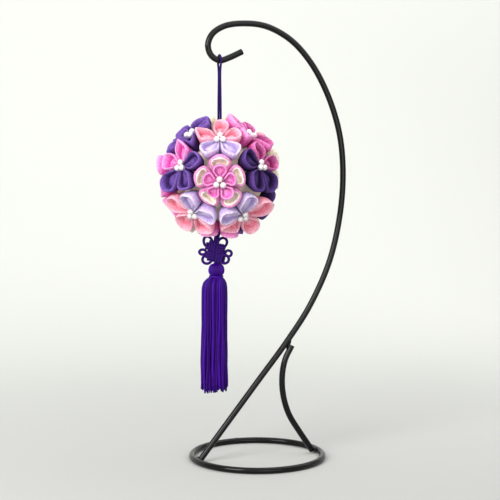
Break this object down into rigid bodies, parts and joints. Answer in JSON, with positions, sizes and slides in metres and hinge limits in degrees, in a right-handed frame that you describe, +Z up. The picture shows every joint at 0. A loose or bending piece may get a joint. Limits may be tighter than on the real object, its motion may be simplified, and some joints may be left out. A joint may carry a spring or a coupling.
{
  "type": "flower ball on a stand",
  "caption": "Ball of folded cloth flowers with an ornamental knot and tassel, hung by a cord from the hook of a wire stand.",
  "frame": {"origin": "middle of the footprint, on the ground", "axes": "+Z up; the arm lies in the XZ plane and hooks over towards -X; the double flower faces -Y and a little -X"},
  "size_m": [0.1272, 0.09, 0.2855],
  "materials": {
    "black_paint": "satin black paint on bent steel rod",
    "coral": "matt crinkled cloth, coral",
    "core_cloth": "matt cream cloth over the round form",
    "cream": "matt crinkled cloth, cream",
    "dark_purple": "matt crinkled cloth, dark purple",
    "hot_pink": "matt crinkled cloth, hot pink",
    "lavender": "matt crinkled cloth, lavender",
    "magenta": "matt crinkled cloth, magenta",
    "mauve": "matt crinkled cloth, mauve",
    "pink": "matt crinkled cloth, pink",
    "purple": "matt crinkled cloth, purple",
    "rose": "matt crinkled cloth, rose",
    "violet_cord": "matt braided cord",
    "violet_silk": "soft sheen thread"
  },
  "bodies": {
    "root": {"ball_core": "core_cloth", "flower_back_left_pair": "lavender", "flower_back_left_trio": "coral", "flower_back_right_pair": "hot_pink", "flower_back_right_trio": "purple", "flower_base_back_pair": "mauve", "flower_base_back_trio": "dark_purple", "flower_base_left_pair": "pink", "flower_base_left_trio": "cream", "flower_base_right_pair": "dark_purple", "flower_base_right_trio": "cream", "flower_crown_back_pair": "cream", "flower_crown_back_trio": "pink", "flower_crown_left_pair": "purple", "flower_crown_left_trio": "purple", "flower_crown_right_pair": "pink", "flower_crown_right_trio": "mauve", "flower_lower_left_pair": "lavender", "flower_lower_left_trio": "coral", "flower_lower_right_pair": "lavender", "flower_lower_right_trio": "coral", "flower_rear_left_pair": "hot_pink", "flower_rear_left_trio": "purple", "flower_rear_right_pair": "mauve", "flower_rear_right_trio": "coral", "flower_side_left_pair": "hot_pink", "flower_side_left_trio": "lavender", "flower_side_right_pair": "cream", "flower_side_right_trio": "coral", "flower_top_pair": "lavender", "flower_top_trio": "coral", "flower_under_pair": "pink", "flower_under_trio": "purple", "flower_upper_left_pair": "hot_pink", "flower_upper_left_trio": "purple", "flower_upper_right_pair": "mauve", "flower_upper_right_trio": "dark_purple", "front_inner": "magenta", "front_lining_1": "cream", "front_lining_2": "cream", "front_lining_3": "cream", "front_lining_4": "cream", "front_lining_5": "cream", "front_outer": "rose", "hanging_cord": "violet_cord", "knot": "violet_cord", "stand_arm": "black_paint", "stand_brace": "black_paint", "stand_ring": "black_paint", "tassel": "violet_silk"}
  },
  "joints": []
}
